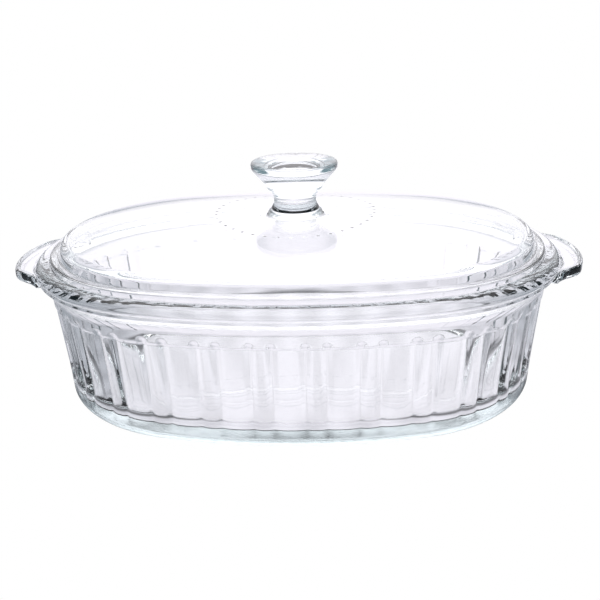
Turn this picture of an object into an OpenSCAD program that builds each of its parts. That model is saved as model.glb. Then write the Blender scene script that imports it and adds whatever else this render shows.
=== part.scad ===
// Covered oval casserole dish in pressed clear glass: a fluted oval dish with two tab handles,
// and a loose domed lid with a mushroom knob that drops into a seat inside the rim.
// Units are millimetres. The dish stands on z = 0, centred on the origin, handles along X.
// The plan outline is an oval of four arcs, so every section below is swept round it exactly.
// Sections are drawn in a plane whose first axis is the distance in from the rim outline
// and whose second axis is height.

/* [Rim outline] */
// Length of the rim without the handles
rim_length = 300; // [290:1:310]
// Width of the rim
rim_width = 208; // [204:1:216]
// Radius of the two end arcs of the outline
end_radius = 97.75; // [92:0.25:98]

/* [Dish] */
// Height of the dish to the top of the rim
dish_height = 84.5; // [80:0.5:95]
// Lean of the side wall from upright, in degrees
wall_draft = 5.3; // [3:0.1:7]
// Glass thickness of the floor
floor_thickness = 6.5; // [5:0.5:8]
// Distance of the side wall in from the rim outline, at the foot of the cove
wall_inset = 5.9; // [5:0.1:7]
// Radius of the outer heel
heel_radius = 8; // [6:0.5:9]
// Radius of the inner heel
inner_heel_radius = 13; // [10:0.5:16]

/* [Lip and seat] */
// Height of the thick lip
lip_height = 6.7; // [6:0.1:7.5]
// How far the lower edge of the lip stands out past the rim outline
lip_bulge = 1.5; // [0.5:0.1:2]
// Rounding of the top outer edge of the lip
lip_round = 3; // [2:0.5:3.5]
// Radius of the cove under the lip
cove_radius = 12; // [11:0.5:13]
// Distance of the seat step in from the rim outline
seat_inset = 7; // [6.5:0.1:7.5]
// Depth of the seat below the top of the rim
seat_depth = 3.6; // [3:0.1:4]
// Distance of the inner wall in from the rim outline, at the seat
inner_inset = 12; // [11.5:0.1:12.5]

/* [Flutes] */
// Pairs of one wide and one narrow rib round the wall
flute_pairs = 28; // [24:2:30]
// Share of each pair taken by the wide rib
wide_share = 0.61; // [0.55:0.01:0.65]
// Radius of the groove between two ribs
groove_radius = 4.2; // [3.5:0.1:4.5]
// Depth of the groove at its bottom end
groove_depth = 1.7; // [1:0.1:2]
// Extra lean of the groove, in degrees, that makes it shallower towards the top
groove_taper = 0.4; // [0.3:0.1:0.8]
// Height of the top of the grooves
groove_top = 64.5; // [60:0.5:66]
// Height of the bottom of the grooves, which run out through the heel
groove_bottom = 3; // [3:0.5:12]

/* [Handles] */
// Length of the dish over both handles
handle_length = 330; // [325:1:345]
// Width of each handle at its outer corners
handle_width = 66; // [60:1:70]
// Flare of the handle's flanks towards the rim, in degrees
handle_flare = 38; // [30:1:45]
// Height of the handle's top face
handle_top = 79.5; // [79:0.5:80]
// Thickness of the handle at its border
handle_thickness = 6.5; // [5.5:0.5:7]
// Corner radius of the handle
handle_corner = 12; // [8:0.5:14]
// Width of the raised border round the handle
border_width = 3.4; // [2.5:0.1:4]
// Depth of the flat inside the raised border
border_depth = 1; // [0.5:0.1:1.5]

/* [Lid] */
// Gap between the lid and the dish
lid_gap = 0.1; // [0.1:0.05:0.3]
// Distance of the lid's flange in from the rim outline
flange_inset = 7.4; // [7.3:0.1:7.6]
// Thickness of the flange
flange_thickness = 6.2; // [5.5:0.1:7]
// Distance of the dome's foot in from the rim outline
dome_inset = 12.2; // [11.8:0.1:13]
// Height of the dome over the flange
dome_height = 17.8; // [15:0.1:20]
// Radius of the shoulder where the dome turns down
shoulder_radius = 4.5; // [4:0.5:6]
// Glass thickness of the dome
dome_thickness = 4.5; // [4:0.1:5]
// Dots in the ring round the knob
ring_dots = 40; // [24:1:48]
// Radius of the ring of dots
ring_radius = 46; // [40:1:50]

/* [Knob] */
// Diameter of the knob's crown
crown_diameter = 49.6; // [44:0.2:54]
// Height of the knob over the dome
knob_height = 30.4; // [28:0.2:34]
// Diameter of the neck at its waist
waist_diameter = 24.4; // [22:0.2:27]

/* [Hidden] */
glass = [0.78, 0.88, 0.87, 0.55];
eps = 0.01;

// Steps in each drawn arc, and round each swept or turned face
arc_steps = 5;
dome_steps = 9;
sweep_fn = 72;
side_fn = 192;
turn_fn = 48;
groove_fn = 20;
dot_fn = 14;

// Four-arc oval: end arcs centred at +-end_offset on X, side arcs at -+side_offset on Y
half_length = rim_length / 2;
half_width = rim_width / 2;
end_offset = half_length - end_radius;
side_radius = (end_offset ^ 2 + half_width ^ 2 - end_radius ^ 2) / (2 * (half_width - end_radius));
side_offset = side_radius - half_width;
join_angle = atan2(side_offset, end_offset);
sweep_height = 2 * dish_height;

// Far point of the line through the arc centres, along which an end and a side meet
seam_end = [4 * end_offset, 3 * side_offset];
overrun = 4;

// Heights of the dish
seat_z = dish_height - seat_depth;
lip_z = dish_height - lip_height;
lean = tan(wall_draft);
cove_foot_z = lip_z - cove_radius * sin(70);
cove_end_angle = 63;

// Handles
handle_bow = 4;
flank_run = 32;

// Lid
lid_z = seat_z + lid_gap;
flange_z = lid_z + flange_thickness;
dome_z = flange_z + dome_height;
dome_crown_inset = end_radius;
shoulder_inset = dome_inset + shoulder_radius + 0.3;
shoulder_drop = 10.2;
dome_run = dome_crown_inset - shoulder_inset;
dome_radius = (dome_run ^ 2 + shoulder_drop ^ 2) / (2 * shoulder_drop);
dome_centre = [dome_crown_inset, dome_z - dome_radius];
shoulder_angle = asin(dome_run / dome_radius);
side_angle = 170;
under_radius = 3;
under_inset = shoulder_inset + 4;
under_angle = asin((dome_crown_inset - under_inset) / (dome_radius - dome_thickness - under_radius));
edge_round = 1.2;
rest_width = 8.8;

// Knob
crown_radius = crown_diameter / 2;
waist_radius = waist_diameter / 2;
crown_round = 1.6;
crown_cap = 1.4;
crown_top_z = dome_z + knob_height - crown_cap;
crown_foot_z = dome_z + 14.3;
crown_foot_radius = 16.1;
ledge_round = 1.3;
cone_inset = 0.9;
cone_drop = 4.8;
side_drop = 2.8;
neck_radius = waist_radius + 1.4;
neck_curve = 8;
neck_mid_z = dome_z + 7.2;
neck_foot_radius = 3;
knob_root = 1;

// Ring of dots
dot_radius = 0.9;
dot_rise = 0.4;

// Points on an arc, from the first angle to the last
function arc(centre, radius, first, last, steps) =
    [for (i = [0:steps]) centre + radius * [cos(first + (last - first) * i / steps),
                                            sin(first + (last - first) * i / steps)]];

// Distance in from the rim outline of the leaning outer and inner wall at a height
function wall_at(z) = wall_inset + (cove_foot_z - z) * lean;
function inner_wall_at(z) = inner_inset + (seat_z - z) * lean;

// Path of the grooves: its distance in, and its lengths round half an end arc and a whole quarter
path_inset = wall_at((groove_top + groove_bottom) / 2);
end_path = (end_radius - path_inset) * join_angle * PI / 180;
quarter_path = end_path + (side_radius - path_inset) * (90 - join_angle) * PI / 180;

// Distance of a plan point in from the rim outline
function inset_at(x, y) =
    (x - end_offset) * side_offset > y * end_offset
    ? end_radius - norm([x - end_offset, y])
    : side_radius - norm([x, y + side_offset]);

// Height of the dome's outer face at a distance in from the rim outline
function dome_at(inset) =
    inset >= dome_crown_inset
    ? dome_z
    : dome_centre[1] + sqrt(dome_radius ^ 2 - (dome_crown_inset - inset) ^ 2);

// Prism over a plan polygon, taller than the whole object
module plan_prism(points) {
    translate([0, 0, -sweep_height])
        linear_extrude(3 * sweep_height)
            polygon(points);
}

// Sweeps a section round one end arc of the oval, on +X, between the lines through the arc centres
module end_sweep() {
    intersection() {
        translate([end_offset, 0, 0])
            rotate_extrude($fn = sweep_fn)
                intersection() {
                    translate([end_radius, 0])
                        mirror([1, 0])
                            children();
                    square([2 * end_radius, sweep_height]);
                }
        plan_prism([
            [end_offset, 0],
            [seam_end[0], -seam_end[1]],
            [rim_length + seam_end[0], -seam_end[1]],
            [rim_length + seam_end[0], seam_end[1]],
            seam_end
        ]);
    }
}

// Sweeps a section round one side arc of the oval, on +Y, as far in as the long axis
module side_sweep() {
    intersection() {
        translate([0, -side_offset, 0])
            rotate_extrude(
                angle = 180 - 2 * join_angle + 2 * overrun,
                start = join_angle - overrun,
                $fn = side_fn
            )
                translate([side_radius, 0])
                    mirror([1, 0])
                        children();
        plan_prism([[-end_offset, 0], [end_offset, 0], seam_end, [-seam_end[0], seam_end[1]]]);
    }
}

// Draws its children twice, the second time turned half round
module both_ways() {
    for (turn = [0, 180])
        rotate([0, 0, turn])
            children();
}

// Section of the dish: floor, heel, leaning wall, cove, thick lip, seat and inner wall
module dish_section() {
    heel_z = heel_radius * (1 - sin(wall_draft));
    inner_z = floor_thickness + inner_heel_radius * (1 - sin(wall_draft));
    cove_centre = [wall_inset, cove_foot_z] - cove_radius * [cos(wall_draft), sin(wall_draft)];
    reach = half_width + eps;
    polygon(concat(
        [[reach, 0]],
        arc([wall_at(heel_z) + heel_radius * cos(wall_draft), heel_radius],
            heel_radius, 270, 180 + wall_draft, arc_steps),
        arc(cove_centre, cove_radius, wall_draft, cove_end_angle, arc_steps),
        [[-lip_bulge, lip_z]],
        arc([lip_round, dish_height - lip_round], lip_round, 180, 90, arc_steps),
        arc([seat_inset - edge_round, dish_height - edge_round], edge_round, 90, 0, 2),
        [[seat_inset, seat_z], [inner_inset, seat_z]],
        arc([inner_wall_at(inner_z) + inner_heel_radius * cos(wall_draft),
             floor_thickness + inner_heel_radius],
            inner_heel_radius, 180 + wall_draft, 270, arc_steps),
        [[reach, floor_thickness]]
    ));
}

// Round-ended bar, with its axis just outside the wall, that cuts one groove
module groove_tool() {
    length = (groove_top - groove_bottom) / cos(wall_draft);
    rotate_extrude($fn = groove_fn)
        polygon(concat(
            arc([0, groove_radius], groove_radius, -90, 0, 3),
            arc([0, length - groove_radius], groove_radius, 0, 90, 3)
        ));
}

// Places a groove tool on an arc of the outline: arc centre, arc radius and direction
module groove_on(centre, radius, direction) {
    translate(centre)
        rotate([0, 0, direction])
            translate([radius - wall_at(groove_bottom) + groove_radius - groove_depth, 0, groove_bottom])
                rotate([0, wall_draft + groove_taper, 0])
                    groove_tool();
}

// Places one groove of the first quarter, at a length along the wall from the end of the dish
module groove_at(along) {
    if (along < end_path)
        groove_on([end_offset, 0, 0], end_radius,
                  along / (end_radius - path_inset) * 180 / PI);
    else
        groove_on([0, -side_offset, 0], side_radius,
                  90 - (quarter_path - along) / (side_radius - path_inset) * 180 / PI);
}

// Grooves round the whole wall: those of the first quarter and their mirror images
module grooves() {
    pitch = 4 * quarter_path / flute_pairs;
    for (flip_x = [0, 1], flip_y = [0, 1])
        mirror([flip_x, 0, 0])
            mirror([0, flip_y, 0])
                for (pair = [0:ceil(flute_pairs / 4)], side = [-1, 1]) {
                    along = pitch * (pair + side * wide_share / 2);
                    if (along > 0 && along < quarter_path)
                        groove_at(along);
                }
}

// Plan of a handle: bowed outer edge, round corners and flanks that flare towards the rim
module handle_plan(border) {
    corner = handle_corner - border;
    corner_y = handle_width / 2 - handle_corner;
    corner_x = handle_length / 2 - handle_corner - handle_bow;
    tip = handle_length / 2 - handle_corner;
    bow_x = ((tip ^ 2 - corner_x ^ 2) - corner_y ^ 2) / (2 * (tip - corner_x));
    bow_radius = tip - bow_x + corner;
    bow_angle = atan2(corner_y, corner_x - bow_x);
    flank_angle = 90 - handle_flare;
    root = [corner_x, corner_y] + corner * [cos(flank_angle), sin(flank_angle)]
        + flank_run * [-sin(flank_angle), cos(flank_angle)];
    polygon(concat(
        [[root[0], -root[1]]],
        arc([corner_x, -corner_y], corner, -flank_angle, -bow_angle, arc_steps),
        arc([bow_x, 0], bow_radius, -bow_angle, bow_angle, 2 * arc_steps),
        arc([corner_x, corner_y], corner, bow_angle, flank_angle, arc_steps),
        [root]
    ));
}

// Handle tab with a raised border, rooted inside the lip
module handle() {
    difference() {
        translate([0, 0, handle_top - handle_thickness])
            linear_extrude(handle_thickness)
                handle_plan(0);
        translate([0, 0, handle_top - border_depth])
            linear_extrude(handle_thickness)
                handle_plan(border_width);
        translate([end_offset, 0, handle_top - 2 * handle_thickness])
            cylinder(h = 3 * handle_thickness, r = end_radius - seat_inset - 2, $fn = sweep_fn);
    }
}

// Dish: two ends, two sides and two handles in one piece of glass, with the grooves cut round the wall
module dish() {
    color(glass)
        difference() {
            both_ways() {
                end_sweep()
                    dish_section();
                side_sweep()
                    dish_section();
                handle();
            }
            grooves();
        }
}

// Section of the lid: flange, steep side, shoulder, shallow dome and hollow underside
module lid_section() {
    away = [-sin(shoulder_angle), cos(shoulder_angle)];
    under = [-sin(under_angle), cos(under_angle)];
    inner_radius = dome_radius - dome_thickness;
    reach = half_width + eps;
    polygon(concat(
        [[flange_inset + edge_round, lid_z]],
        arc([flange_inset + edge_round, lid_z + edge_round], edge_round, 270, 180, 2),
        arc([flange_inset + edge_round, flange_z - edge_round], edge_round, 180, 90, 2),
        [[dome_inset, flange_z]],
        arc(dome_centre + (dome_radius - shoulder_radius) * away, shoulder_radius,
            side_angle, 90 + shoulder_angle, arc_steps),
        arc(dome_centre, dome_radius, 90 + shoulder_angle, 90, dome_steps),
        [[reach, dome_z], [reach, dome_z - dome_thickness]],
        arc(dome_centre, inner_radius, 90, 90 + under_angle, dome_steps),
        arc(dome_centre + (inner_radius - under_radius) * under, under_radius,
            90 + under_angle, 175, arc_steps),
        [[flange_inset + rest_width, lid_z]]
    ));
}

// Half section of the knob: flared foot, waisted neck, ledge, conical underside and flat crown
module knob_section() {
    rim = [crown_radius - crown_round, crown_top_z - crown_round];
    cap_radius = (rim[0] ^ 2 + crown_cap ^ 2) / (2 * crown_cap);
    cap_angle = asin(rim[0] / cap_radius);
    polygon(concat(
        [[0, dome_z - knob_root], [neck_radius + neck_foot_radius, dome_z - knob_root]],
        arc([neck_radius + neck_foot_radius, dome_z + neck_foot_radius - 0.2],
            neck_foot_radius, 270, 200, arc_steps),
        arc([waist_radius + neck_curve, neck_mid_z], neck_curve, 212, 145, arc_steps),
        arc([crown_foot_radius - ledge_round, crown_foot_z], ledge_round, 285, 350, 3),
        [[crown_radius - cone_inset, crown_top_z - cone_drop], [crown_radius, crown_top_z - side_drop]],
        arc(rim, crown_round, 0, 90, arc_steps),
        arc([0, crown_top_z + crown_cap - cap_radius], cap_radius, 90 - cap_angle, 90, arc_steps)
    ));
}

// Small raised dots in a ring on the dome
module dot_ring() {
    for (i = [0:ring_dots - 1]) {
        x = ring_radius * cos(i * 360 / ring_dots);
        y = ring_radius * sin(i * 360 / ring_dots);
        top = dome_at(inset_at(abs(x), abs(y)));
        translate([x, y, top - knob_root])
            cylinder(h = knob_root + dot_rise, r = dot_radius, $fn = dot_fn);
    }
}

// Lid: swept shell with a solid knob and a ring of dots
module lid() {
    color(glass) {
        both_ways() {
            end_sweep()
                lid_section();
            side_sweep()
                lid_section();
        }
        rotate_extrude($fn = turn_fn)
            knob_section();
        dot_ring();
    }
}

dish();
lid();
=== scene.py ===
"""Looks of the covered casserole dish: two pieces of pressed glass, as closed meshes in the CAD's frame."""
import math

import bmesh
import bpy
import numpy as np
from mathutils import Matrix, Vector


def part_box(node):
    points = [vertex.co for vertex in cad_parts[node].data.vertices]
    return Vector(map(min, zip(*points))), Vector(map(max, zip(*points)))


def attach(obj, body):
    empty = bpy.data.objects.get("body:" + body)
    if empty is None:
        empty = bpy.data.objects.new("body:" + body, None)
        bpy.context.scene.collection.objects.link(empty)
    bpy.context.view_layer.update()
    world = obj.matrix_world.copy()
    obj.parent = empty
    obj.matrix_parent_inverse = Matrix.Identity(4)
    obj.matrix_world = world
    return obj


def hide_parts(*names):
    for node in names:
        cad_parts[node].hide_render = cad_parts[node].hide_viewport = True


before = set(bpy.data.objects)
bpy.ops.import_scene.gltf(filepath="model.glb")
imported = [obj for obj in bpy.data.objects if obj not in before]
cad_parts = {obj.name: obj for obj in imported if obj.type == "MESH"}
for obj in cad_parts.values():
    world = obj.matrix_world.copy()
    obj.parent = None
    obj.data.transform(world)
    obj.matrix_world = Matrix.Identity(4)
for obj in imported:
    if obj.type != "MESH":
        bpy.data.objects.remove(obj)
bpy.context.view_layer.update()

MM = 0.001

# ---------------------------------------------------------------- sizes, in millimetres
dish_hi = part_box("dish")[1]
lid_lo, lid_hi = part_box("lid")
RIM_Z = dish_hi.z / MM                    # top of the rim
HANDLE_TIP = dish_hi.x / MM               # outermost point of a handle
LIP_BULGE = 1.5                           # the lip's lower edge stands this far past the rim outline
HANDLE_REACH = 15                         # how far a handle stands out past the rim outline
END_TIGHTER = 6.25                        # how much smaller the end radius is than the half width
HALF_W = dish_hi.y / MM - LIP_BULGE       # half the width of the rim
HALF_L = HANDLE_TIP - HANDLE_REACH        # half the length of the rim without handles
END_R = HALF_W - END_TIGHTER              # radius of the two end arcs
END_C = HALF_L - END_R                    # end arc centre, on X
SIDE_R = (END_C ** 2 + HALF_W ** 2 - END_R ** 2) / (2 * (HALF_W - END_R))
SIDE_C = SIDE_R - HALF_W                  # side arc centre, on Y
JOIN = math.atan2(SIDE_C, END_C)          # direction in which the two arcs meet

DRAFT = math.radians(5.3)                 # lean of the wall from upright
LEAN = math.tan(DRAFT)
FLOOR_T = 6.5                             # thickness of the floor
WALL_IN = 5.9                             # wall at the foot of the cove, in from the rim outline
HEEL_R = 8
INNER_HEEL_R = 13
LIP_H = 6.7
COVE_R = 12                               # cove between wall and lip
COVE_TURN = 70                            # degrees the cove turns through
SEAT_IN = 7
SEAT_Z = RIM_Z - 3.6
SEAT_EDGE_R = 0.9                         # rounding of the rim above the seat
INNER_IN = 12                             # inner wall at the seat, in from the rim outline
INNER_EDGE_R = 0.8                        # rounding from the seat to the inner wall
COVE_Z = RIM_Z - LIP_H - COVE_R * math.sin(math.radians(COVE_TURN))
BEAD_R = 2.4                              # roundness of the lip's lower edge
BEAD_RISE = 1.9                           # its centre above the lip's nominal lower edge
# The lip's outer face from its widest line over the rim: distance in from the outline, drop below the rim
BEAD = ((-1.39, 5.4), (-1.5, 4.6), (-1.3, 3.8), (-0.85, 2.9), (-0.2, 1.95),
        (0.7, 1.1), (1.9, 0.4), (3.2, 0.06), (4.4, 0))

FLUTE_PAIRS = 28                          # pairs of one wide and one narrow rib
WIDE_SHARE = 0.61                         # share of a pair taken by the wide rib
GROOVE_HALF = 3.6                         # half the width of the groove between two ribs
GROOVE_DEPTH = 1.0
GROOVE_FLAT = 0.1                         # share of that half width that is flat at the bottom
GROOVE_TOP = RIM_Z - 20
GROOVE_BOTTOM = 24
GROOVE_FADE = 3.5                         # the bottom end of a groove runs out this much more slowly
PANEL_TOP = RIM_Z - 24                    # above this line the wall is plain
PANEL_DEPTH = 0.45                        # how far the ribs stand in from the plain wall
PANEL_HALF_STEP = 1                       # half the height of the step at the panel's top
RIB_FOOT = (4, 30)                        # heights between which the ribs rise out of the plain heel
RIB_SHAPE = 2.2                           # the larger, the flatter a rib's middle
GROOVE_IN_RIB = 0.3                       # where groove and rib edge meet, this share of the shallower is added
RIB_BOW = 1.1                             # how far a rib's edges stand in from its middle

HANDLE_HALF = 33                          # half the width of a handle at its outer corners
HANDLE_FLARE = math.radians(38)           # how far its flanks open towards the rim
HANDLE_BOW = 4                            # how far its outer edge bows out
HANDLE_TOP = RIM_Z - 5
HANDLE_T = 6.5
HANDLE_CORNER = 12
HANDLE_UNDER_R = 2.4                      # rounding of its lower edge
BORDER_W = 3.4                            # raised border round its top
BORDER_D = 1.0

LID_Z = lid_lo.z / MM                     # underside of the flange
FLANGE_IN = 7.4
FLANGE_Z = LID_Z + 6.2
FLANGE_ROUND = 1.2
DOME_IN = 12.2                            # foot of the dome, in from the rim outline
DOME_Z = FLANGE_Z + 17.8                  # top of the dome
DOME_T = 4.5
KNOB_TOP = lid_hi.z / MM


def wall_at(z):
    return WALL_IN + (COVE_Z - z) * LEAN


def inner_wall_at(z):
    return INNER_IN + (SEAT_Z - z) * LEAN


def smooth(a, b, x):
    t = np.clip((np.asarray(x, float) - a) / (b - a), 0, 1)
    return t * t * (3 - 2 * t)


def arc(centre, radius, first, last, steps):
    a = np.radians(np.linspace(first, last, steps + 1))
    return [(centre[0] + radius * math.cos(t), centre[1] + radius * math.sin(t)) for t in a]


# ---------------------------------------------------------------- columns round the oval
PATH_IN = wall_at((GROOVE_TOP + GROOVE_BOTTOM) / 2)
END_PATH = (END_R - PATH_IN) * JOIN
QUARTER = END_PATH + (SIDE_R - PATH_IN) * (math.pi / 2 - JOIN)
PITCH = 4 * QUARTER / FLUTE_PAIRS
GROOVES = np.array(sorted(
    PITCH * (pair + side * WIDE_SHARE / 2)
    for pair in range(-1, FLUTE_PAIRS // 4 + 2) for side in (-1, 1)))

GROOVE_REACH = 1.2                        # columns stand close together this many groove halves from a groove
GROOVE_COLUMNS = 15
COLUMN_GAP = 1.6                          # distance between columns elsewhere
LEAST_GAP = 0.12
END_GAP = 0.1                             # no column nearer than this to the ends of the quarter


def quarter_stations():
    """Lengths along the wall from the dish's end to the middle of its side, close together at the grooves."""
    marks = [0.0, QUARTER]
    for g in GROOVES:
        marks += [g + GROOVE_HALF * GROOVE_REACH * t for t in np.linspace(-1, 1, GROOVE_COLUMNS)]
    marks = sorted(m for m in marks if 0 <= m <= QUARTER)
    out = []
    for a, b in zip(marks, marks[1:]):
        gap = b - a
        if gap < LEAST_GAP:
            continue
        n = max(1, round(gap / COLUMN_GAP))
        out += [a + gap * i / n for i in range(n)]
    out = [0.0] + [s for s in out if END_GAP < s < QUARTER - END_GAP] + [QUARTER]
    return np.array(out)


def columns():
    """One row per column: arc centre x, y, direction x, y, arc radius, length along the quarter."""
    rows = []
    for s in quarter_stations():
        if s < END_PATH:
            t = s / (END_R - PATH_IN)
            rows.append((END_C, 0, math.cos(t), math.sin(t), END_R, s))
        else:
            t = math.pi / 2 - (QUARTER - s) / (SIDE_R - PATH_IN)
            rows.append((0, -SIDE_C, math.cos(t), math.sin(t), SIDE_R, s))
    q = np.array(rows)
    q2 = q[-2::-1] * np.array([-1, 1, -1, 1, 1, 1])
    half = np.concatenate([q, q2])
    lower = half[-2:0:-1] * np.array([1, -1, 1, -1, 1, 1])
    return np.concatenate([half, lower])


ARC_X, ARC_Y, DIR_X, DIR_Y, ARC_R, ALONG = columns().T
N = len(ALONG)


def ring(inset, z):
    """Points of every column at a distance in from the rim outline (a number or one per column)."""
    inset = np.broadcast_to(np.asarray(inset, float), (N,))
    z = np.broadcast_to(np.asarray(z, float), (N,))
    r = ARC_R - inset
    return np.stack([ARC_X + r * DIR_X, ARC_Y + r * DIR_Y, z], 1)


def fill(edge, height, rows):
    """Rows of points that close a ring: straight lines across the oval, raised to height(x, y)."""
    half = N // 2
    top = edge[:half + 1]
    low = edge[np.r_[0, np.arange(N - 1, half - 1, -1)]]
    out = []
    for i in range(1, rows):
        t = (1 - math.cos(math.pi * i / rows)) / 2
        p = top * (1 - t) + low * t
        p[:, 2] = height(p[:, 0], p[:, 1])
        out.append(p)
    return out


SAME_POINT = 1e-7                         # points nearer than this, in metres, count as one


class Shell:
    """Collects rings of N points and makes one closed mesh of them."""

    def __init__(self):
        self.points, self.faces, self.last = [], [], None
        self.count = 0

    def add(self, pts):
        start = self.count
        self.points.append(np.asarray(pts, float))
        self.count += len(pts)
        return np.arange(start, self.count)

    def ring(self, pts):
        ids = self.add(pts)
        if self.last is not None:
            a, b = self.last, ids
            nxt = np.roll(np.arange(len(ids)), -1)
            self.faces += [(a[i], a[nxt[i]], b[nxt[i]], b[i]) for i in range(len(ids))]
        self.last = ids
        return ids

    def close_flat(self, edge_ids, edge, height, rows):
        """Closes a ring with lines across the oval."""
        half = N // 2
        ups = edge_ids[:half + 1]
        downs = edge_ids[np.r_[0, np.arange(N - 1, half - 1, -1)]]
        grid = [ups]
        for p in fill(edge, height, rows):
            ids = self.add(p[1:-1])
            grid.append(np.r_[ups[0], ids, ups[-1]])
        grid.append(downs)
        for a, b in zip(grid, grid[1:]):
            for i in range(half):
                f = []
                for v in (a[i], a[i + 1], b[i + 1], b[i]):
                    if v not in f:
                        f.append(v)
                if len(f) > 2:
                    self.faces.append(tuple(f))

    def close_point(self, ids, point):
        c = self.add([point])[0]
        n = len(ids)
        self.faces += [(ids[i], ids[(i + 1) % n], c) for i in range(n)]

    def build(self, name):
        co = np.concatenate(self.points) * MM
        mesh = bpy.data.meshes.new(name)
        mesh.from_pydata(co.tolist(), [], [tuple(int(v) for v in f) for f in self.faces])
        bm = bmesh.new()
        bm.from_mesh(mesh)
        bmesh.ops.dissolve_degenerate(bm, dist=SAME_POINT, edges=bm.edges)
        bmesh.ops.recalc_face_normals(bm, faces=bm.faces)
        bm.to_mesh(mesh)
        bm.free()
        mesh.shade_smooth()
        obj = bpy.data.objects.new(name, mesh)
        bpy.context.scene.collection.objects.link(obj)
        return obj


# ---------------------------------------------------------------- dish
WIDE_HALF = WIDE_SHARE * PITCH / 2
NARROW_HALF = PITCH / 2 - WIDE_HALF
# Each column's distance from the middle of a wide rib
FROM_WIDE = np.abs((ALONG + PITCH / 2) % PITCH - PITCH / 2)
# 0 in the middle of a rib, 1 at its edges
RIB_SHARE = np.where(FROM_WIDE < WIDE_HALF, FROM_WIDE / WIDE_HALF, (PITCH / 2 - FROM_WIDE) / NARROW_HALF)
# Each column's distance from a groove
GROOVE_NEAR = np.abs(ALONG[:, None] - GROOVES[None]).min(1)


def groove_depth(z):
    """How far each column's wall stands in at a height: bowed ribs with a rounded groove between them."""
    low, high = GROOVE_BOTTOM, GROOVE_TOP - GROOVE_HALF
    dz = max(0.0, z - high, (low - z) / GROOVE_FADE)
    rho = np.hypot(GROOVE_NEAR, dz)
    groove = GROOVE_DEPTH * (1 - smooth(GROOVE_FLAT, 1, rho / GROOVE_HALF))
    fade = smooth(*RIB_FOOT, z) - smooth(PANEL_TOP - PANEL_HALF_STEP, PANEL_TOP + PANEL_HALF_STEP, z)
    rib = (PANEL_DEPTH + RIB_BOW * RIB_SHARE ** RIB_SHAPE) * fade
    return np.maximum(groove, rib) + GROOVE_IN_RIB * np.minimum(groove, rib)


def cove_centre():
    """Centre of the cove's arc: distance in from the rim outline, and height."""
    return (WALL_IN - COVE_R * math.cos(DRAFT), COVE_Z - COVE_R * math.sin(DRAFT))


def cove_angle(z):
    """Direction on the cove's arc, in degrees, at a height."""
    return math.degrees(math.asin((z - cove_centre()[1]) / COVE_R))


COVE_END = 63                             # direction in which the cove meets the lip's bead
BEAD_ARC = (252, 212)                     # directions between which the bead's lower edge runs
BORDER_FOOT = 0.6                         # width of the slope inside the raised border
UNDER_FLAT = 1.5                          # flat beside the rounding of the handle's lower edge
ROOT_FADE = 0.16                          # share of the outline over which its edge runs out at the rim
ROOT_R = END_R + LIP_BULGE + 0.2          # the handle's outline ends this far from the end arc's centre
CORNER_Y = HANDLE_HALF - HANDLE_CORNER
CORNER_X = HANDLE_TIP - HANDLE_CORNER - HANDLE_BOW
TIP_X = HANDLE_TIP - HANDLE_CORNER
BOW_X = ((TIP_X ** 2 - CORNER_X ** 2) - CORNER_Y ** 2) / (2 * HANDLE_BOW)
BOW_R = HANDLE_TIP - BOW_X
BOW_A = math.atan2(CORNER_Y, CORNER_X - BOW_X)
FLANK_A = math.pi / 2 - HANDLE_FLARE


def flank_length():
    """Length of the straight flank from the handle's corner to the rim."""
    px = CORNER_X + HANDLE_CORNER * math.cos(FLANK_A) - END_C
    py = CORNER_Y + HANDLE_CORNER * math.sin(FLANK_A)
    dx, dy = -math.sin(FLANK_A), math.cos(FLANK_A)
    half_b = px * dx + py * dy
    return -half_b - math.sqrt(half_b ** 2 - (px ** 2 + py ** 2 - ROOT_R ** 2))


FLANK = flank_length()
ROOT_Y = CORNER_Y + HANDLE_CORNER * math.sin(FLANK_A) + FLANK * math.cos(FLANK_A)
ROOT_ANGLE = math.asin(ROOT_Y / ROOT_R)


def handle_outline(u, border):
    """Point of the +X handle's outline for u from -1 to 1, moved in by a border."""
    turn = HANDLE_CORNER * (FLANK_A - BOW_A)
    bow = BOW_R * BOW_A
    d = abs(u) * (FLANK + turn + bow)
    if d <= bow:
        a = d / BOW_R
        p = (BOW_X + (BOW_R - border) * math.cos(a), (BOW_R - border) * math.sin(a))
    else:
        a = min(FLANK_A, BOW_A + (d - bow) / HANDLE_CORNER)
        run = max(0, d - bow - turn)
        p = (CORNER_X + (HANDLE_CORNER - border) * math.cos(a) - run * math.sin(FLANK_A),
             CORNER_Y + (HANDLE_CORNER - border) * math.sin(a) + run * math.cos(FLANK_A))
    return (p[0], math.copysign(p[1], u))


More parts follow.
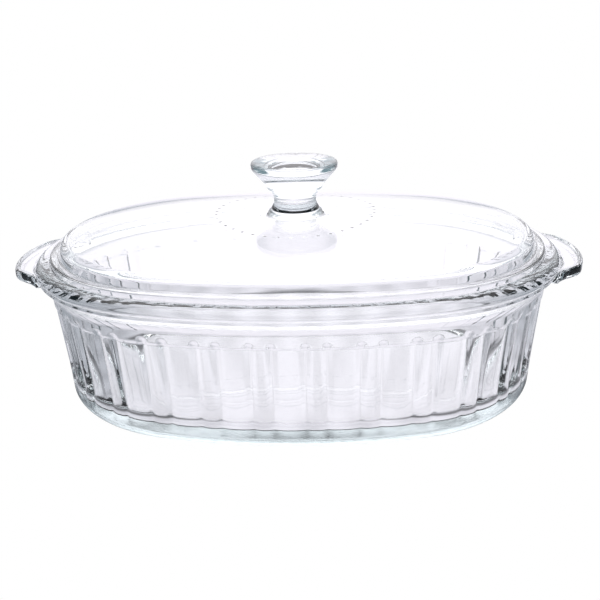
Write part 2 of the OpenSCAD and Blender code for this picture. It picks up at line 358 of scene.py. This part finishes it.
def handle_rows():
    """Rings from a handle's underside, round its edge, to its top; elsewhere they follow the cove and lip."""
    low_z, top_z = HANDLE_TOP - HANDLE_T, HANDLE_TOP
    plain = arc(cove_centre(), COVE_R, cove_angle(low_z), COVE_END, 6)
    plain += arc((BEAD_R - LIP_BULGE, RIM_Z - LIP_H + BEAD_RISE), BEAD_R, *BEAD_ARC, 5)
    plain = np.array(plain)
    seg = np.r_[0, np.cumsum(np.hypot(*np.diff(plain, axis=0).T))]
    # kind of row, share of the way to the edge or distance in from it, height
    r = HANDLE_UNDER_R
    rows = [("root_low", 0, low_z), ("low", 0.35, low_z), ("low", 0.7, low_z)]
    rows += [("edge", r + UNDER_FLAT, low_z), ("edge", r, low_z), ("edge", r * 0.45, low_z + r * 0.16),
             ("edge", r * 0.1, low_z + r * 0.6), ("edge", 0, low_z + r * 1.1)]
    rows += [("edge", 0, top_z - 1.3), ("edge", 0.14, top_z - 0.75)]
    rows += [("edge", 0.5, top_z - 0.25), ("edge", 1.1, top_z)]
    rows += [("edge", BORDER_W - 1.4, top_z), ("edge", BORDER_W - 0.8, top_z - 0.2)]
    rows.append(("edge", BORDER_W - 0.2, top_z - BORDER_D * 0.8))
    rows.append(("edge", BORDER_W + BORDER_FOOT, top_z - BORDER_D))
    rows += [("top", 0.5, top_z - BORDER_D), ("root_top", 0, top_z - BORDER_D)]
    n = len(rows)
    share = np.linspace(0, seg[-1], n)
    px, pz = np.interp(share, seg, plain[:, 0]), np.interp(share, seg, plain[:, 1])
    angle = np.arctan2(DIR_Y, np.abs(DIR_X))
    on = (ARC_R == END_R) & (np.abs(angle) < ROOT_ANGLE)
    side = np.sign(ARC_X)
    out = []
    for k, (kind, amount, z) in enumerate(rows):
        pts = ring(px[k], pz[k])
        for i in np.nonzero(on)[0]:
            u = angle[i] / ROOT_ANGLE
            fade = float(smooth(0, ROOT_FADE, 1 - abs(u)))
            inset = amount * fade if kind == "edge" else (BORDER_W + BORDER_FOOT) * fade
            qx, qy = handle_outline(u, inset)
            if kind == "edge":
                x, y = qx, qy
            else:
                root = (px[0], pz[0]) if kind in ("root_low", "low") else (px[-1], pz[-1])
                rr = END_R - root[0]
                rx, ry = END_C + rr * math.cos(angle[i]), rr * math.sin(angle[i])
                if kind == "low":
                    qx, qy = handle_outline(u, (r + UNDER_FLAT) * fade)
                t = amount if kind in ("low", "top") else 0
                x, y = rx + (qx - rx) * t, ry + (qy - ry) * t
            pts[i] = (x * side[i], y, z)
        out.append(pts)
    return out


BASE_RINGS = (34, 26)                     # rings on the flat base, in from the rim outline
FLOOR_RING = 42                           # last ring on the floor inside
CROSS_ROWS = 14                           # rows across the flats inside the last ring
FINE_TO = 5                               # the wall's rings stand close up to this far above GROOVE_BOTTOM
FINE_FROM = 4                             # and from this far below PANEL_TOP
WALL_STEP = 0.8
PANEL_STEP = 0.55


def build_dish():
    shell = Shell()
    base = ring(BASE_RINGS[0], 0)
    base_ids = shell.ring(base)
    heel_z = HEEL_R * (1 - math.sin(DRAFT))
    heel_c = (wall_at(heel_z) + HEEL_R * math.cos(DRAFT), HEEL_R)
    for d in (BASE_RINGS[1], heel_c[0] + 2, heel_c[0] + 0.5):
        shell.ring(ring(d, 0))
    for d, z in arc(heel_c, HEEL_R, 270, 180 + math.degrees(DRAFT), 12):
        shell.ring(ring(d + groove_depth(z), z))
    zs = list(np.arange(heel_z + WALL_STEP, GROOVE_BOTTOM + FINE_TO, WALL_STEP))
    zs += list(np.linspace(GROOVE_BOTTOM + FINE_TO, PANEL_TOP - FINE_FROM, 12)[1:-1])
    zs += list(np.arange(PANEL_TOP - FINE_FROM, COVE_Z, PANEL_STEP))
    for z in zs:
        shell.ring(ring(wall_at(z) + groove_depth(z), z))
    for d, z in arc(cove_centre(), COVE_R, math.degrees(DRAFT), cove_angle(HANDLE_TOP - HANDLE_T), 8)[:-1]:
        shell.ring(ring(d, z))
    for pts in handle_rows():
        shell.ring(pts)
    lip = [(d, RIM_Z - drop) for d, drop in BEAD]
    lip += arc((SEAT_IN - SEAT_EDGE_R, RIM_Z - SEAT_EDGE_R), SEAT_EDGE_R, 90, 0, 4)
    lip += [(SEAT_IN + 0.05, SEAT_Z + 0.5)]
    lip += arc((SEAT_IN + 0.5, SEAT_Z + 0.45), 0.45, 180, 270, 3)
    lip += [(INNER_IN - 1.2, SEAT_Z)]
    lip += arc((INNER_IN - INNER_EDGE_R, SEAT_Z - INNER_EDGE_R), INNER_EDGE_R, 90, 5, 4)
    inner_z = FLOOR_T + INNER_HEEL_R * (1 - math.sin(DRAFT))
    lip += [(inner_wall_at(z), z) for z in np.linspace(SEAT_Z - 3, inner_z + 1.5, 12)]
    heel = (inner_wall_at(inner_z) + INNER_HEEL_R * math.cos(DRAFT), FLOOR_T + INNER_HEEL_R)
    lip += arc(heel, INNER_HEEL_R, 180 + math.degrees(DRAFT), 270, 14)
    lip += [(heel[0] + 1, FLOOR_T), (heel[0] + 3, FLOOR_T), (FLOOR_RING, FLOOR_T)]
    for d, z in lip:
        last = ring(d, z)
        ids = shell.ring(last)
    shell.close_flat(ids, last, lambda x, y: np.full(len(x), FLOOR_T), CROSS_ROWS)
    shell.close_flat(base_ids, base, lambda x, y: np.zeros(len(x)), CROSS_ROWS)
    return shell.build("dish_glass")


# ---------------------------------------------------------------- lid
SHOULDER_R = 4.5                          # rounding between the lid's short side and its dome
SHOULDER_IN = DOME_IN + SHOULDER_R + 0.3
SHOULDER_DROP = 10.2                      # how far the shoulder lies below the dome's top
DOME_RUN = END_R - SHOULDER_IN
DOME_R = (DOME_RUN ** 2 + SHOULDER_DROP ** 2) / (2 * SHOULDER_DROP)
DOME_C = (END_R, DOME_Z - DOME_R)         # centre of the dome's arc: distance in, height
SHOULDER_A = math.asin(DOME_RUN / DOME_R)
DOME_EDGE = 30                            # inside this distance in, the lid's rings turn from ovals to circles
CIRCLE_R = 52                             # inside this radius they are circles
CIRCLE_ROWS = 25                          # rings between the two
RING_R = 46                               # ring of raised dots
RING_DOTS = 40
DOT_R = 0.9
DOT_H = 0.16
UNDER_R = 3                               # rounding inside the shoulder
UNDER_IN = SHOULDER_IN + 4
FOOT_IN = FLANGE_IN + 8.8                 # inner edge of the flange's underside


def inset_at(x, y):
    """Distance in from the rim outline of points of the plan."""
    x, y = np.abs(x), np.abs(y)
    end = END_R - np.hypot(x - END_C, y)
    side = SIDE_R - np.hypot(x, y + SIDE_C)
    return np.where((x - END_C) * SIDE_C > y * END_C, end, side)


def dome_top(x, y):
    d = np.minimum(inset_at(x, y), END_R)
    return DOME_C[1] + np.sqrt(DOME_R ** 2 - (END_R - d) ** 2)


def dome_under(x, y):
    d = np.minimum(inset_at(x, y), END_R)
    return DOME_C[1] + np.sqrt((DOME_R - DOME_T) ** 2 - (END_R - d) ** 2)


def circle_angles():
    """Direction of each column on the circles round the knob."""
    edge = ring(DOME_EDGE, 0)
    return np.arctan2(edge[:, 1] / (HALF_W - DOME_EDGE), edge[:, 0] / (HALF_L - DOME_EDGE))


ANGLES = circle_angles()
DIRS = np.stack([np.cos(ANGLES), np.sin(ANGLES)], 1)


def lid_rings(height, radii):
    """Rings from the oval at DOME_EDGE in to a circle of CIRCLE_R, then circles of the given radii."""
    out = []
    oval = ring(DOME_EDGE, 0)[:, :2]
    circle = DIRS * CIRCLE_R
    for t in np.linspace(0, 1, CIRCLE_ROWS + 1)[1:]:
        p = oval * (1 - t) + circle * t
        out.append(np.c_[p, height(p[:, 0], p[:, 1])])
    for r in radii:
        p = DIRS * r
        out.append(np.c_[p, height(p[:, 0], p[:, 1])])
    return out


def dots(p):
    """Raises the dots of the ring on points of the dome."""
    spots = np.linspace(0, 2 * math.pi, RING_DOTS, endpoint=False)
    c = np.stack([np.cos(spots), np.sin(spots)], 1) * RING_R
    d = np.hypot(p[:, None, 0] - c[None, :, 0], p[:, None, 1] - c[None, :, 1]).min(1)
    q = p.copy()
    q[:, 2] += DOT_H * np.sqrt(np.clip(1 - (d / DOT_R) ** 2, 0, 1))
    return q


KNOB_R = 24.8
WAIST_R = 12.2
WAIST_RISE = 7.2                          # height of the waist above the dome
WAIST_CURVE = 8                           # radius of the hollow at the waist, in section
WAIST_ARC = (212, 145)                    # directions between which it runs
FOOT_R = 3                                # radius of the hollow at the foot, in section
FOOT_ARC = (262, 200)
FOOT_OUT = 1.4                            # the foot's upper edge stands this far past the waist
CROWN_DOME = 1.4                          # rise of the crown's top from its edge to its middle
CROWN_ROUND = 1.6                         # rounding of the crown's upper edge
# Skirt of the foot: distance past the foot's upper edge, height above the dome
SKIRT = ((5.0, 0.0), (4.0, 0.05), (3.0, 0.3))
# Ledge between the waist and the crown's conical underside: radius, height above the dome
LEDGE = ((13.9, 12.4), (14.2, 12.8), (14.8, 13.0), (15.4, 13.2), (15.8, 13.7),
         (16.0, 14.4), (16.3, 15.2), (16.7, 15.9), (17.3, 16.6))
# Side of the crown: distance in from its widest line, drop below its upper edge
CROWN_SIDE = ((0.9, 4.8), (0.45, 4.2), (0.12, 3.5), (0, 2.8))


def knob_profile():
    """Radius and height of the knob, from its foot on the dome to near the middle of its top."""
    foot = WAIST_R + FOOT_OUT
    crown_z = KNOB_TOP - CROWN_DOME
    pts = [(foot + r, DOME_Z + z) for r, z in SKIRT]
    pts += arc((foot + FOOT_R, DOME_Z + FOOT_R + 0.3), FOOT_R, *FOOT_ARC, 6)
    pts += arc((WAIST_R + WAIST_CURVE, DOME_Z + WAIST_RISE), WAIST_CURVE, *WAIST_ARC, 12)
    pts += [(r, DOME_Z + z) for r, z in LEDGE]
    side = [(KNOB_R - r, crown_z - drop) for r, drop in CROWN_SIDE]
    a, b = np.array(pts[-1]), np.array(side[0])
    pts += [tuple(a * (1 - t) + b * t) for t in (0.25, 0.5, 0.75)] + side
    rim = (KNOB_R - CROWN_ROUND, crown_z - CROWN_ROUND)
    pts += arc(rim, CROWN_ROUND, 0, 90, 10)
    for t in np.linspace(0, 1, 9)[1:-1]:
        r = rim[0] * (1 - t)
        pts.append((r, crown_z + CROWN_DOME * (1 - (r / rim[0]) ** 2)))
    return pts


def dome_angle(radius, inset=DOME_EDGE):
    """Direction from upright on an arc round the dome's centre, at a distance in from the rim outline."""
    return math.asin((END_R - inset) / radius)


def dome_arc(radius, first, last, steps):
    """Points of an arc round the dome's centre between two directions from upright."""
    turns = np.radians(np.linspace(90 + math.degrees(first), 90 + math.degrees(last), steps))
    return [(DOME_C[0] + radius * math.cos(a), DOME_C[1] + radius * math.sin(a)) for a in turns]


def lid_inside():
    """Section of the underside from the dome's edge out to the flange: distance in, height."""
    inner_r = DOME_R - DOME_T
    turn = dome_angle(inner_r - UNDER_R, UNDER_IN)
    out = dome_arc(inner_r, dome_angle(inner_r), turn, 8)
    reach = inner_r - UNDER_R
    c = (DOME_C[0] - reach * math.sin(turn), DOME_C[1] + reach * math.cos(turn))
    out += arc(c, UNDER_R, 90 + math.degrees(turn), 175, 8)[1:]
    top_in, low_z = c[0] - UNDER_R, LID_Z + 0.9
    out += [(top_in + (FOOT_IN - top_in) * t, c[1] + (low_z - c[1]) * t) for t in (0.25, 0.5, 0.75)]
    out += arc((FOOT_IN - 0.8, LID_Z + 0.8), 0.8, 10, -90, 4)
    return out


def lid_outside():
    """Section from the flange's underside over its edge, up the short side and in over the shoulder."""
    k = FLANGE_ROUND
    out = [(FLANGE_IN + 3, LID_Z)]
    out += arc((FLANGE_IN + k, LID_Z + k), k, 270, 180, 5)
    out += [(FLANGE_IN, LID_Z + 3)]
    out += arc((FLANGE_IN + k, FLANGE_Z - k), k, 180, 90, 5)
    out += [(DOME_IN - 1.2, FLANGE_Z)]
    out += arc((DOME_IN - 0.9, FLANGE_Z + 0.9), 0.9, 270, 345, 4)
    reach = DOME_R - SHOULDER_R
    c = (DOME_C[0] - reach * math.sin(SHOULDER_A), DOME_C[1] + reach * math.cos(SHOULDER_A))
    out += arc(c, SHOULDER_R, 170, 90 + math.degrees(SHOULDER_A), 12)
    out += dome_arc(DOME_R, SHOULDER_A, dome_angle(DOME_R), 9)[1:]
    return out


DOT_ROWS = np.arange(RING_R + 1.25, RING_R - 1.3, -0.25)     # rings close together across the dots
TOP_RADII = [50.5, 49, 48, *DOT_ROWS, 44, 42, 38, 34, 30, 27, 24, 21.5]
UNDER_RADII = np.linspace(CIRCLE_R, 3, 16)[1:]
FOOT_BLEND = (DOME_Z + 0.2, DOME_Z + 5)       # heights over which the foot leaves the dome's shape


def build_lid():
    shell = Shell()
    under = lid_rings(dome_under, UNDER_RADII)
    first = shell.ring(under[-1])
    for p in under[-2::-1]:
        shell.ring(p)
    for d, z in lid_inside()[1:] + lid_outside():
        shell.ring(ring(d, z))
    for p in lid_rings(dome_top, TOP_RADII):
        shell.ring(dots(p))
    for r, z in knob_profile():
        p = DIRS * r
        sag = dome_top(p[:, 0], p[:, 1]) - DOME_Z
        last = shell.ring(np.c_[p, z + sag * (1 - smooth(*FOOT_BLEND, z))])
    shell.close_point(last, (0, 0, KNOB_TOP))
    shell.close_point(first, (0, 0, DOME_Z - DOME_T))
    return shell.build("lid_glass")


# ---------------------------------------------------------------- nodes
def maths(nt, kind, a, b=None):
    node = nt.nodes.new("ShaderNodeMath")
    node.operation = kind
    for i, v in enumerate((a, b)):
        if v is None:
            continue
        if isinstance(v, (int, float)):
            node.inputs[i].default_value = v
        else:
            nt.links.new(v, node.inputs[i])
    return node.outputs[0]


def blend(nt, kind, a, b):
    node = nt.nodes.new("ShaderNodeMix")
    node.data_type = "RGBA"
    node.blend_type = kind
    node.inputs["Factor"].default_value = 1
    nt.links.new(a, node.inputs["A"])
    nt.links.new(b, node.inputs["B"])
    return node.outputs["Result"]


def remap(nt, value, source, target, kind="SMOOTHSTEP"):
    """A value carried from one range to another, and held at its ends."""
    node = nt.nodes.new("ShaderNodeMapRange")
    node.interpolation_type = kind
    node.inputs["From Min"].default_value, node.inputs["From Max"].default_value = source
    node.inputs["To Min"].default_value, node.inputs["To Max"].default_value = target
    nt.links.new(value, node.inputs["Value"])
    return node.outputs["Result"]


def split(nt, vector):
    node = nt.nodes.new("ShaderNodeSeparateXYZ")
    nt.links.new(vector, node.inputs[0])
    return node.outputs


# ---------------------------------------------------------------- glass
GLASS_TINT = (0.55, 0.72, 0.74)
GLASS_DENSITY = 3.5                    # absorption per metre, tinting only the thick edges
GLASS_IOR = 1.5
DISH_WAVES = 26                        # scale of the slow waves in the pressed surface
LID_WAVES = 24
WAVE_DETAIL = 1.5
WAVE_DEPTH = 0.000015
PIT_SCALE = 900                        # scale of the fine pits
PIT_NOISE = (0.45, 0.75)               # noise values over which the pits set in
PIT_ROUGHNESS = (0.0, 0.03)
STIPPLE_Z = 0.0004                     # faces below this height are the stippled underside
STIPPLE_ROUGHNESS = 0.1


def noise(nt, coordinates, scale, detail=None):
    node = nt.nodes.new("ShaderNodeTexNoise")
    node.inputs["Scale"].default_value = scale
    if detail is not None:
        node.inputs["Detail"].default_value = detail
    nt.links.new(coordinates, node.inputs["Vector"])
    return node.outputs["Fac"]


def glass(name, wave_scale, stipple=0.0):
    """Clear pressed glass: blue-green in depth, waves and fine pits in its surface, a stippled underside."""
    mat = bpy.data.materials.new(name)
    mat.use_nodes = True
    nt = mat.node_tree
    nt.nodes.clear()
    out = nt.nodes.new("ShaderNodeOutputMaterial")
    bsdf = nt.nodes.new("ShaderNodeBsdfPrincipled")
    bsdf.inputs["Transmission Weight"].default_value = 1
    bsdf.inputs["IOR"].default_value = GLASS_IOR
    bsdf.inputs["Base Color"].default_value = (1, 1, 1, 1)
    place = nt.nodes.new("ShaderNodeTexCoord").outputs["Object"]
    bump = nt.nodes.new("ShaderNodeBump")
    bump.inputs["Strength"].default_value = 1
    bump.inputs["Distance"].default_value = WAVE_DEPTH
    nt.links.new(noise(nt, place, wave_scale, WAVE_DETAIL), bump.inputs["Height"])
    nt.links.new(bump.outputs["Normal"], bsdf.inputs["Normal"])
    pits = remap(nt, noise(nt, place, PIT_SCALE), PIT_NOISE, PIT_ROUGHNESS, "LINEAR")
    under = maths(nt, "MULTIPLY", maths(nt, "LESS_THAN", split(nt, place)["Z"], STIPPLE_Z), stipple)
    nt.links.new(maths(nt, "MAXIMUM", pits, under), bsdf.inputs["Roughness"])
    absorb = nt.nodes.new("ShaderNodeVolumeAbsorption")
    absorb.inputs["Color"].default_value = (*GLASS_TINT, 1)
    absorb.inputs["Density"].default_value = GLASS_DENSITY
    nt.links.new(bsdf.outputs["BSDF"], out.inputs["Surface"])
    nt.links.new(absorb.outputs["Volume"], out.inputs["Volume"])
    return mat


# ---------------------------------------------------------------- studio
# What the camera sees directly is plain white. What the glass refracts and mirrors is the light set below:
# a lit pool on the sweep and a bright wall behind the object, in an unlit room. The light stands behind the
# object as seen from the camera, in any view. Distances are in metres.
STUDIO_DARK = (0.05, 0.115, 0.14)      # the unlit room round the white sweep
STUDIO_WHITE = (1.005, 0.99, 1.03)
POOL_X = 0.03                          # the lit pool lies this far to the right
# Stops of a ramp: position, share of white
POOL_ACROSS = ((0.06, 1.0), (0.11, 0.88), (0.19, 0.56), (0.34, 0.34))
POOL_AWAY = ((0.12, 0.04), (0.28, 0.14), (0.4, 0.84), (0.6, 0.9), (0.7, 1.0))
POOL_AWAY_ZERO = 0.5                   # position in POOL_AWAY of the object's middle
WIDE_POOL = (0.06, 0.2)                # distances behind the object over which the pool widens
WIDE_POOL_SHARE = 0.4                  # distances across the pool count only this much beyond them
PAINTED_LIGHT_BANDS = 0.16                           # depth of the painted light and shade bands on the sweep under the object, one light and one dark band per rib pitch
CONTACT_IN = 8.5                       # line of the heel's contact shade, in from the rim outline, mm
CONTACT_HALF = 5.5                     # half its width, mm
CONTACT_LEFT = 0.15                    # light left in its middle
WALL_FACING = ((0.25, 0.08), (0.58, 0.45), (0.82, 0.92), (0.96, 1.0))
WALL_ABOVE = ((0.5, 0.0), (0.72, 0.8), (0.9, 1.0))
WALL_RISE = (0.02, 0.2)                # upward slopes over which the wall grows brighter than the sweep
SOFTBOX = 1.5                          # how much brighter it gets
LEAST_FLAT = 1.0001                    # keeps the level part of a direction above zero


def ramp(nt, value, stops):
    """From the colour of the unlit room to white, along stops of position and share of white."""
    node = nt.nodes.new("ShaderNodeValToRGB")
    node.color_ramp.interpolation = "EASE"
    els = node.color_ramp.elements
    while len(els) < len(stops):
        els.new(0.5)
    for el, (pos, share) in zip(els, stops):
        el.position = pos
        el.color = [d + (w - d) * share for d, w in zip(STUDIO_DARK, STUDIO_WHITE)] + [1]
    nt.links.new(value, node.inputs["Fac"])
    return node.outputs["Color"]


def white_to_camera(nt, shader_kind, color, out, strength):
    """Plain white where the camera sees it directly, the lit pattern where the glass does."""
    lit = nt.nodes.new(shader_kind)
    nt.links.new(color, lit.inputs["Color"])
    nt.links.new(strength, lit.inputs["Strength"])
    plain = nt.nodes.new(shader_kind)
    plain.inputs["Color"].default_value = (1, 1, 1, 1)
    plain.inputs["Strength"].default_value = 1
    path = nt.nodes.new("ShaderNodeLightPath")
    mix = nt.nodes.new("ShaderNodeMixShader")
    nt.links.new(path.outputs["Is Camera Ray"], mix.inputs[0])
    nt.links.new(lit.outputs[0], mix.inputs[1])
    nt.links.new(plain.outputs[0], mix.inputs[2])
    nt.links.new(mix.outputs[0], out.inputs["Surface"])


def to_camera(nt, vector):
    node = nt.nodes.new("ShaderNodeVectorTransform")
    node.vector_type = "VECTOR"
    node.convert_from, node.convert_to = "WORLD", "CAMERA"
    nt.links.new(vector, node.inputs[0])
    return split(nt, node.outputs[0])


def seen_axes(nt, x, y):
    """A level vector's parts across the camera's view and away from the camera."""
    level = nt.nodes.new("ShaderNodeCombineXYZ")
    nt.links.new(x, level.inputs["X"])
    nt.links.new(y, level.inputs["Y"])
    upright = nt.nodes.new("ShaderNodeCombineXYZ")
    upright.inputs["Z"].default_value = 1
    part, top = to_camera(nt, level.outputs[0]), to_camera(nt, upright.outputs[0])
    forth, back = maths(nt, "MULTIPLY", part["Z"], top["Y"]), maths(nt, "MULTIPLY", part["Y"], top["Z"])
    return part["X"], maths(nt, "SUBTRACT", forth, back)


def contact_shade(nt, x, y):
    """Share of light left on the sweep beside the line where the dish's heel stands on it."""
    long_way = maths(nt, "DIVIDE", x, (HALF_L - CONTACT_IN) * MM)
    short_way = maths(nt, "DIVIDE", y, (HALF_W - CONTACT_IN) * MM)
    squares = [maths(nt, "MULTIPLY", v, v) for v in (long_way, short_way)]
    reach = maths(nt, "SQRT", maths(nt, "ADD", *squares))
    off = maths(nt, "ABSOLUTE", maths(nt, "SUBTRACT", reach, 1.0))
    return remap(nt, off, (0, CONTACT_HALF / HALF_W), (CONTACT_LEFT, 1))


def floor_material():
    """White sweep lit in a pool behind and under the object, falling off to the unlit room, with painted bands
    of light and shade under the object.
    """
    mat = bpy.data.materials.new("studio_floor")
    mat.use_nodes = True
    nt = mat.node_tree
    nt.nodes.clear()
    out = nt.nodes.new("ShaderNodeOutputMaterial")
    place = split(nt, nt.nodes.new("ShaderNodeNewGeometry").outputs["Position"])
    beside, away = seen_axes(nt, place["X"], place["Y"])
    near = remap(nt, away, WIDE_POOL, (1.0, WIDE_POOL_SHARE))
    across = maths(nt, "ABSOLUTE", maths(nt, "SUBTRACT", beside, POOL_X))
    side = ramp(nt, maths(nt, "MULTIPLY", across, near), POOL_ACROSS)
    front = ramp(nt, maths(nt, "ADD", away, POOL_AWAY_ZERO), POOL_AWAY)
    # Painted light and shade: bands across the sweep under the object, one period per rib pitch, which the ribs
    # refract as their shading
    phase = maths(nt, "MULTIPLY", beside, 2 * math.pi / (PITCH * MM))
    wave = maths(nt, "ADD", maths(nt, "SINE", phase), 1.0)
    under = maths(nt, "SUBTRACT", near, WIDE_POOL_SHARE)
    painted_bands = maths(nt, "SUBTRACT", 1.0, maths(nt, "MULTIPLY", maths(nt, "MULTIPLY", wave, under), PAINTED_LIGHT_BANDS))
    level = maths(nt, "MULTIPLY", painted_bands, contact_shade(nt, place["X"], place["Y"]))
    white_to_camera(nt, "ShaderNodeEmission", blend(nt, "MULTIPLY", side, front), out, level)
    return mat


def studio_world():
    """Bright behind the object and above it, dark to the sides and behind the camera."""
    world = bpy.data.worlds.new("studio")
    world.use_nodes = True
    nt = world.node_tree
    nt.nodes.clear()
    out = nt.nodes.new("ShaderNodeOutputWorld")
    to = split(nt, nt.nodes.new("ShaderNodeTexCoord").outputs["Generated"])
    level = maths(nt, "SQRT", maths(nt, "SUBTRACT", LEAST_FLAT, maths(nt, "MULTIPLY", to["Z"], to["Z"])))
    facing = maths(nt, "DIVIDE", seen_axes(nt, to["X"], to["Y"])[1], level)
    light = blend(nt, "LIGHTEN", ramp(nt, facing, WALL_FACING), ramp(nt, to["Z"], WALL_ABOVE))
    white_to_camera(nt, "ShaderNodeBackground", light, out, remap(nt, to["Z"], WALL_RISE, (1.0, SOFTBOX)))
    bpy.context.scene.world = world


# ---------------------------------------------------------------- scene
dish_obj = build_dish()
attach(dish_obj, "dish")
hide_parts("dish")
lid_obj = build_lid()
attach(lid_obj, "lid")
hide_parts("lid")
dish_obj.data.materials.append(glass("dish_pressed_glass", DISH_WAVES, STIPPLE_ROUGHNESS))
lid_obj.data.materials.append(glass("lid_pressed_glass", LID_WAVES))

FLOOR_HALF = 6.0
FLOOR_Z = -0.0002
CORNERS = ((-1, -1), (1, -1), (1, 1), (-1, 1))
floor_mesh = bpy.data.meshes.new("studio_floor")
corners = [(x * FLOOR_HALF, y * FLOOR_HALF, FLOOR_Z) for x, y in CORNERS]
floor_mesh.from_pydata(corners, [], [(0, 1, 2, 3)])
floor = bpy.data.objects.new("studio_floor", floor_mesh)
bpy.context.scene.collection.objects.link(floor)
floor_mesh.materials.append(floor_material())

studio_world()

LAMP_SIZE = (2.0, 1.5)
LAMP_POWER = 9
LAMP_AT = Vector((-0.3, 0.4, 1.6))
LAMP_AIM = Vector((0, 0, 0.05))
lamp = bpy.data.lights.new("softbox", "AREA")
lamp.shape = "RECTANGLE"
lamp.size, lamp.size_y = LAMP_SIZE
lamp.energy = LAMP_POWER
lamp_obj = bpy.data.objects.new("softbox", lamp)
lamp_obj.location = LAMP_AT
lamp_obj.rotation_euler = (LAMP_AIM - LAMP_AT).to_track_quat("-Z", "Y").to_euler()
bpy.context.scene.collection.objects.link(lamp_obj)

# Camera at the photograph's viewing angle: degrees and metres
VIEW_AZIMUTH, VIEW_ELEVATION, VIEW_ROLL = 2.66, 21.26, -1.41
VIEW_DISTANCE = 0.499
VIEW_TARGET = Vector((0.0059, 0.0003, dish_hi.z * 0.577))
VIEW_LENS = 49.4
VIEW_SENSOR = 36
VIEW_SHIFT = -0.013
NEAR_CLIP = 0.01
az, el, roll = (math.radians(v) for v in (VIEW_AZIMUTH, VIEW_ELEVATION, VIEW_ROLL))
back = Vector((math.sin(az) * math.cos(el), -math.cos(az) * math.cos(el), math.sin(el)))
right = Vector((0, 0, 1)).cross(back).normalized()
up = back.cross(right)
right, up = right * math.cos(roll) + up * math.sin(roll), up * math.cos(roll) - right * math.sin(roll)
cam = bpy.data.cameras.new("camera")
cam.lens = VIEW_LENS
cam.sensor_width = VIEW_SENSOR
cam.shift_x = VIEW_SHIFT
cam.clip_start = NEAR_CLIP
cam_obj = bpy.data.objects.new("camera", cam)
turn = Matrix((right, up, back)).transposed().to_4x4()
cam_obj.matrix_world = Matrix.Translation(VIEW_TARGET + back * VIEW_DISTANCE) @ turn
bpy.context.scene.collection.objects.link(cam_obj)
bpy.context.scene.camera = cam_obj

# Light has to pass many glass surfaces on its way through both pieces
GLASS_BOUNCES = 24
MIRROR_BOUNCES = 8
scene = bpy.context.scene
scene.view_settings.view_transform = "Standard"
scene.cycles.max_bounces = GLASS_BOUNCES
scene.cycles.transmission_bounces = GLASS_BOUNCES
scene.cycles.glossy_bounces = MIRROR_BOUNCES
